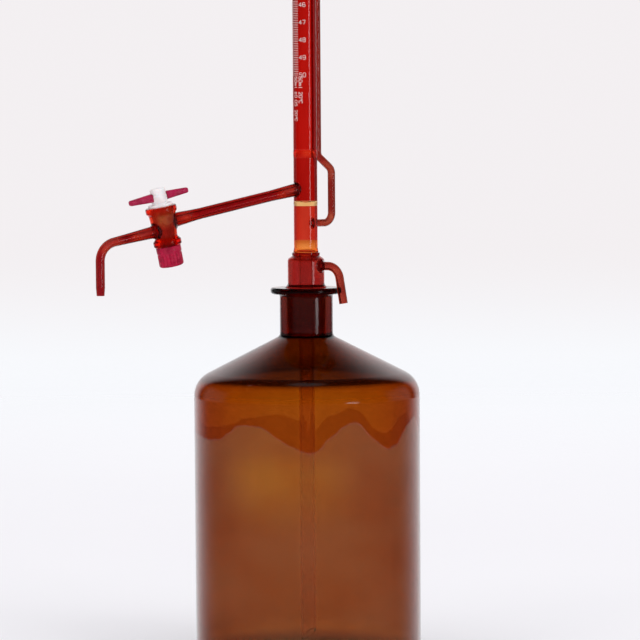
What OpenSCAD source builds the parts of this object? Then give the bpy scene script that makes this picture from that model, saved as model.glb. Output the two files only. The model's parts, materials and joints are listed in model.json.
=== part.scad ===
// Automatic-zero burette on its reservoir bottle, in millimetres.
// +Z is up. The origin is the middle of the bottle's foot. The delivery arm points along -X.

/* [Reservoir bottle] */
// Outside diameter of the body
bottle_d = 133; // [128:1:138]
// Height where the straight wall turns into the shoulder
body_h = 158.4; // [150:0.2:175]
// Total height, to the top of the flange
bottle_h = 222; // [214:1:240]
// Outside diameter of the neck
neck_d = 31.2; // [30.4:0.2:32]
// Diameter of the flange round the mouth
flange_d = 42; // [40:0.5:43]
// Wall thickness of the body
bottle_wall = 2.6; // [2.2:0.1:3]

/* [Ground joint] */
// Wide-end diameter of the taper that plugs the neck
cone_d = 24; // [23.8:0.1:24.2]
// Length of the ground surface
cone_h = 29; // [27:0.5:30]

/* [Burette tube] */
// Outside diameter of the graduated tube
tube_d = 14; // [13.8:0.1:14.2]
// Bore of the graduated tube
bore_d = 11.2; // [11:0.1:11.3]
// Capacity between the first and last marks, in millilitres
capacity = 50; // [40:5:50]
// Height of the lowest mark above the foot
last_mark_z = 350; // [345:1:355]
// Outside diameter of the thin filling tube
feed_d = 4.4; // [4.2:0.1:4.5]

/* [Delivery tap] */
// Distance of the tap from the tube's axis
tap_x = 91.9; // [88:0.1:97]
// Height of the tap above the foot
tap_z = 260; // [257:1:263]
// Slope of the delivery arm below the horizontal, in degrees
arm_slope = 11.5; // [10:0.5:13]
// Distance of the outlet's spout from the tube's axis
spout_x = 132.4; // [129:0.1:139]
// Height of the spout's end above the foot
spout_z = 221; // [210:1:226]
// Width of the handle across both grips
handle_w = 38.6; // [35:0.2:41]

/* [Hidden] */
$fn = 64;

cut = 1;              // how far a cutting shape runs past what it cuts
fit_gap = 0.05;       // radial gap of a ground or turned fit
bend_ease = 0.04;     // how much fatter a bend is than its straights
bend_lap = 0.25;      // how far a straight runs into a bend
amber = [0.42, 0.22, 0.05];
red_amber = [0.6, 0.07, 0.03];
pink = [0.85, 0.08, 0.3];

// Bottle
body_r = bottle_d / 2;
neck_r = neck_d / 2;
foot_r = 50;          // inner edge of the flat ring that the bottle stands on
push_up = 2.4;        // rise of the foot's hollow middle
heel_r = 6;
floor_z = 5.6;        // inside floor next to the wall
shoulder_r = 15;      // radius of the shoulder's outer corner
shoulder_slope = 27;
throat_r = 3;         // radius of the sweep from shoulder to neck
flange_h = 3.8;
lip_r = 1.6;

// Ground joint, a taper of 1 in 10 on the diameter
taper = 1 / 20;
cone_top_z = bottle_h - 0.5;
cone_end_z = cone_top_z - cone_h;
cone_wall = 1.7;

// Air chamber above the joint, and what passes through it
chamber_r = 10.8;
chamber_wall = 1.5;
chamber_z = 237;      // where its shoulder starts
column_z = 242.5;     // where the supporting tube starts
dip_r = 4.5;
dip_bore_r = 3.2;
dip_end_z = 13;
inlet_r = 2.5;
inlet_bore_r = 1.5;
inlet_z = 234.7;
inlet_turn = -60;     // direction of the air inlet, round from +X
inlet_bend = 8;
inlet_drop = 80;      // how far the inlet bends down from the horizontal
inlet_tail = 15.4;

// Tube column
column_r = tube_d / 2;
column_bore_r = column_r - 1.4;
floor_low_z = 269.8;
floor_top_z = 272.8;
seam_z = 300.6;       // seal between the tap section and the graduated tube
tube_r = tube_d / 2;
bore_r = bore_d / 2;
zero_z = last_mark_z + capacity * 1000 / (PI * bore_r * bore_r);
head_z = zero_z + 15;

// Filling tube
feed_r = feed_d / 2;
feed_bore_r = 1.1;
feed_gap = 0.5;
feed_turn = 14;       // direction of the filling tube, round from +X
feed_x = tube_r + feed_gap + feed_r;
loop_x = 20.6;
loop_low_z = 259.5;
loop_low_bend = 6;
loop_slant = 53;      // slant of the loop's upper leg, from the vertical
loop_bend_a = 5;
loop_bend_b = 4;
loop_high_z = 288.5;
loop_rise = (loop_x - feed_x - (loop_bend_a + loop_bend_b) * (1 - cos(loop_slant)))
            / sin(loop_slant);
loop_top_z = loop_high_z + (loop_bend_a + loop_bend_b) * sin(loop_slant)
             + loop_rise * cos(loop_slant);
bridge_count = 4;

// Head at the top of the tube
head_r = 14.5;
head_wall = 1.4;
head_low_h = 9;       // height of the head's lower cone
head_mid_h = 37;      // height at the top of its straight wall
head_neck_h = 46;     // height where its socket starts
socket_h = 24;
socket_r = 9.2;
stopper_top_r = 7.25; // wide end of the stopper's taper
head_top_z = head_z + head_neck_h + socket_h;
siphon_in_z = head_z + 2;
siphon_bend = feed_x / 2;
siphon_high_z = head_z + 28;
siphon_tip_h = 12;

// Tap, drawn about its own centre with its axis along +Z and the inlet along +X
barrel_half = 11.5;
plug_taper = 1 / 10;  // a taper of 1 in 5 on the diameter
plug_mid_r = 5.55;
barrel_wall = 1.55;
port_shift = 2;       // the two arms meet the barrel this far above and below its middle
port_r = 1.25;
arm_r = 3.2;
arm_bore_r = 1.5;
arm_flare_r = 4.2;
arm_flare_h = 14;
jet_r = 2.6;
jet_bore_r = 1.3;
jet_root_r = 3.9;
jet_root_h = 22;
jet_bend = 11;
hub_r = 4.5;
hub_top = 22;
stub_r = 1.5;
stub_end = 11;
grip_z = 17.2;
tail_r = 3.45;        // threaded tail of the plug
tail_end = 22.6;
washer_h = 1.05;
ring_r = 0.85;        // section of the O-ring
ring_mid_r = 5;
nut_r = 7.25;
nut_h = 10.9;
nut_ribs = 20;

// Points along an arc about [x, y], from angle a to angle b
function arc(x, y, r, a, b, steps = 8) =
  [for (i = [0:steps]) let (t = a + (b - a) * i / steps) [x + r * cos(t), y + r * sin(t)]];

function cone_r(z) = cone_d / 2 - (cone_top_z - z) * taper;
function plug_r(z) = plug_mid_r + z * plug_taper;
function stopper_r(z) = stopper_top_r - (head_top_z - z) * taper;

// A straight tube or rod from one height to another
module pipe(r, bore, low, high) {
  translate([0, 0, low]) difference() {
    cylinder(r = r, h = high - low);
    if (bore > 0) translate([0, 0, -cut]) cylinder(r = bore, h = high - low + 2 * cut);
  }
}

// A bent rod. Each move is [length, 0] for a straight or [radius, angle] for a bend towards
// +X (or -X where the angle is negative). It starts out along +Z, with a straight at each end.
// Each bend is a hair fatter than the straights, which run a little way into it.
module bent_rod(moves, r, i = 0) {
  if (i < len(moves)) {
    size = moves[i][0];
    turn = moves[i][1];
    lap_in = i == 0 ? 0 : bend_lap;
    lap_out = i == len(moves) - 1 ? 0 : bend_lap;
    if (turn == 0) {
      translate([0, 0, -lap_in]) cylinder(r = r, h = size + lap_in + lap_out);
      translate([0, 0, size]) bent_rod(moves, r, i + 1);
    } else {
      side = sign(turn);
      mirror([side < 0 ? 1 : 0, 0, 0]) translate([size, 0, 0]) rotate([90, 0, 0])
        rotate([0, 0, 180 - abs(turn)]) rotate_extrude(angle = abs(turn))
          translate([size, 0]) circle(r = r + bend_ease);
      translate([side * size * (1 - cos(turn)), 0, size * sin(abs(turn))])
        rotate([0, turn, 0]) bent_rod(moves, r, i + 1);
    }
  }
}

// The same as a tube, with the bore running past both ends
module bent_tube(moves, r, bore) {
  last = len(moves) - 1;
  difference() {
    bent_rod(moves, r);
    translate([0, 0, -cut]) bent_rod([for (i = [0:last])
      [moves[i][0] + (i == 0 ? cut : 0) + (i == last ? cut : 0), moves[i][1]]], bore);
  }
}

module at_tap() {
  translate([-tap_x, 0, tap_z]) rotate([0, -arm_slope, 0]) children();
}

module at_feed() {
  rotate([0, 0, feed_turn]) children();
}

module at_inlet() {
  rotate([0, 0, inlet_turn]) translate([0, 0, inlet_z]) rotate([0, 90, 0]) children();
}

// Reservoir bottle
shoulder_end = arc(body_r - shoulder_r, body_h, shoulder_r, 0, 90 - shoulder_slope);
slope_start = shoulder_end[len(shoulder_end) - 1];
slope_rise = tan(shoulder_slope);
throat_x = neck_r + throat_r;
throat_z = slope_start[1] + throat_r / cos(shoulder_slope)
           + (slope_start[0] - throat_x) * slope_rise;
inner_corner = shoulder_r - bottle_wall;
inner_start = [body_r - shoulder_r + inner_corner * sin(shoulder_slope),
               body_h + inner_corner * cos(shoulder_slope)];
throat_in_r = 14;

module bottle_outside() {
  polygon(concat(
    [for (i = [0:5]) [foot_r * i / 5, push_up * (1 - pow(i / 5, 2))]],
    arc(body_r - heel_r, heel_r, heel_r, -90, 0, 6),
    shoulder_end,
    arc(throat_x, throat_z, throat_r, 270 - shoulder_slope, 180, 6),
    arc(neck_r + lip_r, bottle_h - flange_h - lip_r, lip_r, 180, 90, 4),
    arc(flange_d / 2 - lip_r, bottle_h - flange_h + lip_r, lip_r, -90, 0, 5),
    arc(flange_d / 2 - lip_r, bottle_h - lip_r, lip_r, 0, 90, 5),
    [[0, bottle_h]]
  ));
}

module bottle_inside() {
  polygon(concat(
    [for (i = [0:5]) [foot_r * i / 5, floor_z + push_up * (1 - pow(i / 5, 2))]],
    arc(body_r - bottle_wall - heel_r, floor_z + heel_r, heel_r, -90, 0, 6),
    arc(body_r - shoulder_r, body_h, inner_corner, 0, 90 - shoulder_slope),
    [[throat_in_r, inner_start[1] + (inner_start[0] - throat_in_r) * slope_rise],
     [cone_r(cone_end_z) + fit_gap, cone_end_z + 0.5],
     [cone_r(bottle_h - 0.6) + fit_gap, bottle_h - 0.6],
     [cone_r(bottle_h) + fit_gap + 0.6, bottle_h],
     [cone_r(bottle_h) + fit_gap + 0.6, bottle_h + cut],
     [0, bottle_h + cut]]
  ));
}

module reservoir_bottle() {
  color(amber) rotate_extrude() difference() {
    bottle_outside();
    bottle_inside();
  }
}

// Ground joint and air chamber
module ground_cone() {
  color(red_amber) rotate_extrude() polygon([
    [cone_r(cone_end_z) - cone_wall, cone_end_z],
    [cone_r(cone_end_z), cone_end_z],
    [cone_r(cone_top_z), cone_top_z],
    [cone_r(cone_top_z) - cone_wall, cone_top_z]
  ]);
}

module chamber_shell() {
  foot = cone_r(cone_top_z);
  rotate_extrude() polygon(concat(
    [[foot - cone_wall, cone_top_z], [foot, cone_top_z]],
    arc(chamber_r + 1.4, cone_top_z + 2.6, 1.4, 235, 180, 4),
    arc(chamber_r - 3, chamber_z, 3, 0, 70, 6),
    [[column_r + 0.8, column_z - 1.8], [column_r + 1.2, column_z - 1.4],
     [column_r + 1.2, column_z - 0.4], [column_r + 0.8, column_z], [dip_r, column_z]],
    [[dip_r, chamber_z - 0.4], [chamber_r - chamber_wall - 1.2, chamber_z - 0.4]],
    [[chamber_r - chamber_wall, chamber_z - 1.6],
     [chamber_r - chamber_wall, cone_top_z + 3]]
  ));
}

module air_chamber() {
  color(red_amber) difference() {
    chamber_shell();
    at_inlet() cylinder(r = inlet_bore_r, h = chamber_r + cut);
  }
}

module air_inlet() {
  straight = 15.2;
  color(red_amber) difference() {
    at_inlet() union() {
      bent_tube([[straight, 0], [inlet_bend, inlet_drop], [inlet_tail, 0]],
                inlet_r, inlet_bore_r);
      difference() {
        translate([0, 0, chamber_r - 1]) cylinder(r1 = inlet_r + 0.8, r2 = inlet_r, h = 4);
        cylinder(r = inlet_bore_r, h = 2 * straight);
      }
    }
    cylinder(r = chamber_r, h = 2 * inlet_z);
  }
}

module dip_tube() {
  color(red_amber) difference() {
    pipe(dip_r, dip_bore_r, dip_end_z, column_z);
    translate([-dip_r - cut, 0, dip_end_z]) rotate([0, -35, 0])
      translate([-cut, -dip_r - cut, -3 * dip_r]) cube([5 * dip_r, 2 * dip_r + 2 * cut, 3 * dip_r]);
  }
}

// Tube column
module support_tube() {
  color(red_amber) difference() {
    pipe(column_r, column_bore_r, column_z, floor_low_z);
    at_feed() translate([0, 0, loop_low_z]) rotate([0, 90, 0])
      cylinder(r = feed_bore_r, h = 2 * column_r);
  }
}

module tube_floor() {
  dish = 1.2;
  color([0.9, 0.6, 0.25]) rotate_extrude() polygon([
    [0, floor_low_z], [column_r, floor_low_z], [column_r, floor_top_z],
    [column_bore_r, floor_top_z], [column_bore_r / 2, floor_top_z - 0.8 * dish],
    [0, floor_top_z - dish]
  ]);
}

module tap_section() {
  color(red_amber) difference() {
    pipe(column_r, column_bore_r, floor_top_z, seam_z);
    at_tap() translate([0, 0, port_shift]) rotate([0, 90, 0])
      cylinder(r = arm_bore_r, h = tap_x / cos(arm_slope));
  }
}

module measuring_tube() {
  color(red_amber) pipe(tube_r, bore_r, seam_z, head_z);
}

// Filling tube
module feed_loop() {
  stub = loop_x - loop_low_bend;
  color(red_amber) difference() {
    at_feed() translate([0, 0, loop_low_z]) rotate([0, 90, 0]) mirror([1, 0, 0])
      bent_tube([
        [stub, 0], [loop_low_bend, 90],
        [loop_high_z - loop_low_z - loop_low_bend, 0],
        [loop_bend_a, loop_slant], [loop_rise, 0], [loop_bend_b, -loop_slant],
        [1, 0]
      ], feed_r, feed_bore_r);
    cylinder(r = column_r, h = 2 * loop_low_z);
  }
}

module feed_riser() {
  color(red_amber) at_feed() translate([feed_x, 0, 0])
    pipe(feed_r, feed_bore_r, loop_top_z + 1, siphon_in_z);
}

// Small beads of glass that hold the filling tube to the graduated one
module riser_bridges() {
  pitch = (head_z - seam_z) / (bridge_count + 0.5);
  color(red_amber) at_feed() for (i = [1:bridge_count]) difference() {
    translate([tube_r + feed_gap / 2, 0, seam_z + pitch * i]) sphere(r = 1.9);
    cylinder(r = tube_r, h = head_z);
    translate([feed_x, 0, 0]) cylinder(r = feed_r, h = head_z);
  }
}

// Head with the automatic zero
module head_shell() {
  low = head_z + head_low_h;
  mid = head_z + head_mid_h;
  neck = head_z + head_neck_h;
  inner = head_r - head_wall;
  rotate_extrude() polygon(concat(
    [[bore_r, head_z], [tube_r, head_z]],
    arc(head_r - 4, low, 4, -40, 0, 4),
    arc(head_r - 6, mid, 6, 0, 60, 6),
    arc(socket_r + 2, neck + 1, 2, 225, 180, 3),
    [[socket_r, head_top_z - 2.5]],
    arc(socket_r, head_top_z - 1.5, 1.2, -60, 90, 6),
    [[stopper_r(head_top_z) + fit_gap + 0.4, head_top_z - 0.3]],
    [[stopper_r(head_top_z) + fit_gap, head_top_z - 0.7]],
    [[stopper_r(neck + 1) + fit_gap, neck + 1]],
    arc(head_r - 6, mid, 6 - head_wall, 60, 0, 6),
    arc(inner - 2.6, low, 2.6, 0, -40, 4)
  ));
}

module zero_head() {
  color(red_amber) difference() {
    head_shell();
    at_feed() translate([feed_x, 0, head_z - cut])
      cylinder(r = feed_r, h = head_low_h + 2 * cut);
  }
}

module zero_siphon() {
  rise = siphon_high_z - siphon_in_z;
  fall = siphon_high_z - zero_z - siphon_tip_h;
  color(red_amber) at_feed() {
    translate([feed_x, 0, siphon_in_z]) mirror([1, 0, 0])
      bent_tube([[rise, 0], [siphon_bend, 180], [fall, 0]], feed_r, feed_bore_r);
    translate([0, 0, zero_z]) difference() {
      cylinder(r1 = 1.3, r2 = feed_r, h = siphon_tip_h);
      translate([0, 0, -cut]) cylinder(r = 0.7, h = siphon_tip_h + 2 * cut);
    }
  }
}

module vent_stopper() {
  low = head_z + head_neck_h + 1.5;
  knob_z = head_top_z + 11;
  color(red_amber) rotate_extrude() polygon(concat(
    [[1.2, low], [stopper_r(low), low], [stopper_r(head_top_z), head_top_z]],
    arc(8, head_top_z + 3, 2.4, 215, 150, 4),
    arc(5, knob_z - 1, 5.2, -40, 60, 8),
    [[5, knob_z + 4], [1.2, knob_z + 4]]
  ));
}

// Delivery arm, tap barrel and outlet
module barrel_blank() {
  cylinder_r = plug_r(0) + barrel_wall;
  rise = plug_taper * barrel_half;
  translate([0, 0, -barrel_half])
    cylinder(r1 = cylinder_r - rise, r2 = cylinder_r + rise, h = 2 * barrel_half);
}

module delivery_arm() {
  reach = tap_x / cos(arm_slope);
  flare_z = reach - column_r - 1;
  color(red_amber) difference() {
    at_tap() translate([0, 0, port_shift]) rotate([0, 90, 0]) difference() {
      union() {
        cylinder(r = arm_r, h = reach);
        cylinder(r1 = arm_flare_r, r2 = arm_r, h = plug_mid_r + arm_flare_h);
        translate([0, 0, flare_z - arm_flare_h])
          cylinder(r1 = arm_r, r2 = arm_flare_r, h = arm_flare_h);
        translate([0, 0, flare_z]) cylinder(r = arm_flare_r, h = 3);
      }
      translate([0, 0, -cut]) cylinder(r = arm_bore_r, h = reach + 2 * cut);
    }
    cylinder(r = column_r, h = 2 * tap_z);
    at_tap() barrel_blank();
  }
}

module stopcock_barrel() {
  edge = 0.6;
  top_r = 9.1;
  low_r = 8.15;
  rim = 3;
  outer = plug_mid_r + barrel_wall;
  color(red_amber) at_tap() difference() {
    rotate_extrude() polygon([
      [plug_r(-barrel_half) + fit_gap, -barrel_half],
      [low_r - edge, -barrel_half], [low_r, -barrel_half + edge],
      [low_r, -barrel_half + rim], [low_r - edge, -barrel_half + rim + edge],
      [outer + plug_taper * (rim + 1.4 - barrel_half), -barrel_half + rim + 1.4],
      [outer + plug_taper * (barrel_half - rim - 1.4), barrel_half - rim - 1.4],
      [top_r - edge, barrel_half - rim], [top_r, barrel_half - rim + edge],
      [top_r, barrel_half - edge], [top_r - edge, barrel_half],
      [plug_r(barrel_half) + fit_gap, barrel_half]
    ]);
    for (side = [-1, 1]) translate([0, 0, side * port_shift]) rotate([0, side * 90, 0])
      cylinder(r = arm_bore_r, h = 3 * plug_mid_r);
  }
}

// The spout leaves the barrel along -X and bends down until it hangs plumb.
spout_turn = 90 - arm_slope;
spout_start_x = tap_x - port_shift * sin(arm_slope);
spout_start_z = tap_z - port_shift * cos(arm_slope);
spout_run = (spout_x - spout_start_x - jet_bend * (1 - sin(arm_slope))) / cos(arm_slope);
spout_drop = spout_start_z - spout_z - spout_run * sin(arm_slope) - jet_bend * cos(arm_slope);

module outlet_jet() {
  color(red_amber) difference() {
    at_tap() translate([0, 0, -port_shift]) rotate([0, -90, 0]) union() {
      mirror([1, 0, 0]) bent_tube([[spout_run, 0], [jet_bend, spout_turn], [spout_drop, 0]],
                                  jet_r, jet_bore_r);
      difference() {
        cylinder(r1 = jet_root_r, r2 = jet_r, h = plug_mid_r + jet_root_h);
        translate([0, 0, -cut]) cylinder(r = jet_bore_r, h = 2 * jet_root_h);
      }
    }
    at_tap() barrel_blank();
  }
}

// Tap plug with its head, oblique bore and threaded tail
module stopcock_plug() {
  color("white") at_tap() difference() {
    union() {
      translate([0, 0, -barrel_half - 0.05]) cylinder(
        r1 = plug_r(-barrel_half), r2 = plug_r(barrel_half) - 0.01, h = 2 * barrel_half + 0.1);
      translate([0, 0, barrel_half + 0.05]) cylinder(r = plug_r(barrel_half) + 0.4, h = 1.4);
      rotate_extrude() polygon(concat(
        [[0, barrel_half], [hub_r, barrel_half]], arc(hub_r - 1, hub_top - 1, 1, 0, 90, 4),
        [[0, hub_top]]));
      translate([-stub_end, 0, grip_z]) rotate([0, 90, 0]) cylinder(r = stub_r, h = 2 * stub_end);
      translate([0, 0, -tail_end]) cylinder(r = tail_r, h = tail_end - barrel_half + 0.2);
    }
    translate([-2 * plug_mid_r, 0, -2 * port_shift])
      rotate([0, 90 - atan2(port_shift, plug_mid_r), 0])
        cylinder(r = port_r, h = 5 * plug_mid_r);
  }
}

// A grip that tapers away from the hub, with a blind hole for the plug's stub
module grip() {
  half = handle_w / 2;
  root = hub_r + 0.1;
  color(pink) at_tap_grip() difference() {
    intersection() {
      rotate([90, 0, 0]) linear_extrude(6, center = true) polygon([
        [root, -2.5], [half - 0.8, -1.5], [half, -0.9],
        [half, 0.9], [half - 0.8, 1.5], [root, 2.5]]);
      linear_extrude(6, center = true) polygon([
        [root, -2.4], [half - 1, -1.7], [half, -1], [half, 1], [half - 1, 1.7], [root, 2.4]]);
    }
    rotate([0, 90, 0]) cylinder(r = stub_r, h = stub_end);
  }
}

module at_tap_grip() {
  translate([0, 0, grip_z]) children();
}

module grip_inner() {
  at_tap() grip();
}

module grip_outer() {
  at_tap() rotate([0, 0, 180]) grip();
}

// Washer, ring and nut below the barrel
stack_z = -barrel_half - 0.05;
ring_z = stack_z - washer_h - ring_r - 0.02;
nut_floor_z = ring_z - ring_r - 0.02;
nut_top_z = stack_z - washer_h - 0.05;

module thrust_washer() {
  color("ivory") at_tap() pipe(6.4, tail_r + 0.1, stack_z - washer_h, stack_z);
}

module o_ring() {
  color([0.1, 0.1, 0.1]) at_tap() translate([0, 0, ring_z])
    rotate_extrude() translate([ring_mid_r, 0]) circle(r = ring_r);
}

module retaining_nut() {
  end_z = nut_top_z - nut_h;
  rib_w = 1.1;
  band_h = 3.6;
  color(pink) at_tap() difference() {
    rotate_extrude() polygon([
      [tail_r + 0.1, end_z], [nut_r - 1.4, end_z], [nut_r - 0.4, end_z + 1],
      [nut_r - 0.1, nut_top_z - 3], [nut_r, nut_top_z - 2.4], [nut_r, nut_top_z - 0.4],
      [nut_r - 0.4, nut_top_z], [ring_mid_r + ring_r + 0.1, nut_top_z],
      [ring_mid_r + ring_r + 0.1, nut_floor_z], [tail_r + 0.1, nut_floor_z]
    ]);
    for (i = [0:nut_ribs - 1]) rotate([0, 0, 360 * i / nut_ribs])
      translate([nut_r - 0.65, -rib_w / 2, end_z - cut])
        cube([2, rib_w, nut_h - band_h + cut]);
  }
}

reservoir_bottle();
ground_cone();
air_chamber();
air_inlet();
dip_tube();
support_tube();
tube_floor();
tap_section();
measuring_tube();
feed_loop();
feed_riser();
riser_bridges();
zero_head();
zero_siphon();
delivery_arm();
stopcock_barrel();
outlet_jet();
vent_stopper();
stopcock_plug();
grip_inner();
grip_outer();
thrust_washer();
o_ring();
retaining_nut();
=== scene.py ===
"""Automatic-zero burette on its reservoir bottle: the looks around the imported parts.

Shapes are worked out in millimetres in the part's own frame and become metres on the way
into each mesh.
"""
import json
import math

import bpy
from mathutils import Matrix, Vector


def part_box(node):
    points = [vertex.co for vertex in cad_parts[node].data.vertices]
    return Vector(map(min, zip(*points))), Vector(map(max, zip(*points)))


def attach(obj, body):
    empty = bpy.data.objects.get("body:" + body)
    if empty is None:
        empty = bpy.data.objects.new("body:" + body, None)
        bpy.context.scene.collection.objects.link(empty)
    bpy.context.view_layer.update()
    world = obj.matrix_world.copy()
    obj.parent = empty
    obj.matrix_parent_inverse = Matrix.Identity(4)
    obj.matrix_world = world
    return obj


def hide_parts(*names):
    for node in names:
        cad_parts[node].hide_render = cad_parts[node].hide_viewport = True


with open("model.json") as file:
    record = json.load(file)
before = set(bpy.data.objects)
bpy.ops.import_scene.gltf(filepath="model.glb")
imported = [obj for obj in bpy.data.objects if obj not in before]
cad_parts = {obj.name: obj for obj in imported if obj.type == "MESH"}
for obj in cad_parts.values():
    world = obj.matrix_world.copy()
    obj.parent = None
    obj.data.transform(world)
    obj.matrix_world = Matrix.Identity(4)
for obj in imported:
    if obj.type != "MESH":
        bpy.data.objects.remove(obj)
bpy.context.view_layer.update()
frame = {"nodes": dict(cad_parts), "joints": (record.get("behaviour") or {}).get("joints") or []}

MM = 0.001
QUARTER = math.pi / 2


# ---------------------------------------- sizes taken from the frame

def box_mm(node):
    low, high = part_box(node)
    return low / MM, high / MM


def joint(name):
    return next(j for j in frame["joints"] if j["name"] == name)


bottle_high = box_mm("reservoir_bottle")[1]
cone_low, cone_high = box_mm("ground_cone")
chamber_high = box_mm("air_chamber")[1]
dip_low, dip_high = box_mm("dip_tube")
column_low = box_mm("support_tube")[0]
floor_low, floor_high = box_mm("tube_floor")
tube_low, tube_high = box_mm("measuring_tube")
riser_low, riser_high = box_mm("feed_riser")
loop_low, loop_high = box_mm("feed_loop")
head_high = box_mm("zero_head")[1]
siphon_low, siphon_high = box_mm("zero_siphon")
spout_low = box_mm("outlet_jet")[0]
stopper_low, stopper_high = box_mm("vent_stopper")
bridge_low, bridge_high = box_mm("riser_bridges")

BODY_R = bottle_high.y
BOTTLE_H = bottle_high.z
CONE_R = cone_high.x
CHAMBER_R = 10.8        # the chamber's wall above its wider foot
TUBE_R = tube_high.y
BORE_R = TUBE_R - 1.4
DIP_R = dip_high.x
COLUMN_Z = column_low.z
FLOOR_Z = floor_low.z
FLOOR_TOP_Z = floor_high.z
SEAM_Z = tube_low.z
HEAD_Z = tube_high.z
HEAD_TOP_Z = head_high.z
ZERO_Z = siphon_low.z
LAST_MARK_Z = ZERO_Z - 50000 / (math.pi * BORE_R ** 2)
FEED_R = (riser_high.y - riser_low.y) / 2
FEED_BORE = 1.1         # this and BORE_R are radii
FEED_AT = Vector(((riser_low.x + riser_high.x) / 2, (riser_low.y + riser_high.y) / 2, 0))
FEED_OUT = FEED_AT.normalized()

TAP_AT = Vector(joint("key_turn")["pos_m"]) / MM
TAP_AXIS = Vector(joint("key_turn")["axis"]).normalized()
TAP_SIDE = Vector((0, 1, 0))
TAP_INLET = TAP_SIDE.cross(TAP_AXIS)
ARM_SLOPE = math.atan2(-TAP_AXIS.x, TAP_AXIS.z)


def frame_at(origin, x, y, z):
    m = Matrix((x, y, z)).transposed().to_4x4()
    m.translation = origin
    return m


TAP = frame_at(TAP_AT, TAP_INLET, TAP_SIDE, TAP_AXIS)


# ---------------------------------------- camera and stage

VIEW_AZIMUTH = math.radians(-28)
VIEW_ELEVATION = math.radians(3.5)
VIEW_ROLL = math.radians(-0.40)
VIEW_DISTANCE = 2000
VIEW_WIDTH = 376.6      # what the frame takes in at the burette's distance
AIM_Z = 202.6
AIM_SIDE = 8.0          # how far right of the burette's axis the camera aims


def view_back():
    a, e = VIEW_AZIMUTH, VIEW_ELEVATION
    return Vector((math.sin(a) * math.cos(e), -math.cos(a) * math.cos(e), math.sin(e)))


# that direction round the Z axis, in degrees: the studio's reflections, the bottle's film with its painted
# glow and painted sheen, and the painted highlight on the seal are placed from it
FRONT = math.degrees(math.atan2(view_back().y, view_back().x))


def make_camera():
    data = bpy.data.cameras.new("camera")
    data.sensor_width = 36
    data.lens = data.sensor_width * VIEW_DISTANCE / VIEW_WIDTH
    data.clip_end = 60
    cam = bpy.data.objects.new("camera", data)
    bpy.context.scene.collection.objects.link(cam)
    right = Vector((math.cos(VIEW_AZIMUTH), math.sin(VIEW_AZIMUTH), 0))
    aim = Vector((0, 0, AIM_Z)) + right * AIM_SIDE
    cam.location = (aim + view_back() * VIEW_DISTANCE) * MM
    turn = (-view_back()).to_track_quat("-Z", "Y")
    cam.rotation_mode = "QUATERNION"
    cam.rotation_quaternion = turn @ Matrix.Rotation(VIEW_ROLL, 4, "Z").to_quaternion()
    bpy.context.scene.camera = cam


# ---------------------------------------- node helpers

class Nodes:
    """A short way to write node trees."""

    def __init__(self, tree):
        self.tree = tree
        tree.nodes.clear()

    def add(self, kind, inputs=None, **settings):
        node = self.tree.nodes.new(kind)
        for key, value in settings.items():
            setattr(node, key, value)
        for key, value in (inputs or {}).items():
            self.put(node.inputs[key], value)
        return node

    def put(self, socket, value):
        if isinstance(value, bpy.types.NodeSocket):
            self.tree.links.new(value, socket)
        else:
            socket.default_value = value

    def math(self, operation, a, b=0.0, c=0.0, clamp=False):
        node = self.add("ShaderNodeMath", {0: a, 1: b, 2: c}, operation=operation)
        node.use_clamp = clamp
        return node.outputs[0]

    def times(self, first, *factors):
        for factor in factors:
            first = self.math("MULTIPLY", first, factor)
        return first

    def xyz(self, kind="Object"):
        coordinates = self.add("ShaderNodeTexCoord").outputs[kind]
        return self.add("ShaderNodeSeparateXYZ", {0: coordinates}).outputs

    def turn(self, x, y, start):
        """Degrees round the Z axis from start, between -180 and 180."""
        angle = self.times(self.math("ARCTAN2", y, x), 180 / math.pi)
        return self.math("WRAP", self.math("SUBTRACT", angle, start), 180.0, -180.0)

    def smooth(self, value, low, high, to_low=0.0, to_high=1.0):
        node = self.add("ShaderNodeMapRange", {
            "Value": value, "From Min": low, "From Max": high, "To Min": to_low, "To Max": to_high,
        }, interpolation_type="SMOOTHSTEP")
        return node.outputs["Result"]

    def mix(self, factor, a, b, blend="MIX"):
        node = self.add("ShaderNodeMix", data_type="RGBA", blend_type=blend)
        self.put(node.inputs[0], factor)
        self.put(node.inputs[6], a)
        self.put(node.inputs[7], b)
        return node.outputs[2]

    def blend(self, factor, a, b):
        node = self.add("ShaderNodeMix", data_type="FLOAT")
        self.put(node.inputs[0], factor)
        self.put(node.inputs[2], a)
        self.put(node.inputs[3], b)
        return node.outputs[0]

    def noise(self, scale, detail=2.0, vector=None, stretch=None):
        if vector is None:
            vector = self.add("ShaderNodeTexCoord").outputs["Object"]
        if stretch is not None:
            vector = self.add("ShaderNodeMapping", {"Vector": vector, "Scale": stretch}).outputs[0]
        node = self.add("ShaderNodeTexNoise", {"Vector": vector, "Scale": scale, "Detail": detail})
        return node.outputs["Fac"]

    def bump(self, height, strength, distance):
        return self.add("ShaderNodeBump", {
            "Height": height, "Strength": strength, "Distance": distance}).outputs["Normal"]


def new_material(name):
    m = bpy.data.materials.new(name)
    m.use_nodes = True
    return m, Nodes(m.node_tree)


def finish_material(n, shader, volume=None):
    out = n.add("ShaderNodeOutputMaterial")
    n.tree.links.new(shader.outputs[0], out.inputs["Surface"])
    if volume is not None:
        n.tree.links.new(volume.outputs[0], out.inputs["Volume"])


# ---------------------------------------- world, lights and floor

PALE = (0.900, 0.868, 0.884, 1)
PALE_LOW = (0.945, 0.962, 0.995, 1)
EDGE_ELEVATION = -4.6   # where the white table ends in the reflections, in degrees
WINDOW_TURN = 47.0      # how far round from the camera the window and the side panels are
PANEL_TURN = 112.0
WINDOW_LIGHT = 3.2      # brightness against the backdrop's
WING_LIGHT = 0.55
ROOM_LIGHT = 0.008


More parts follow.
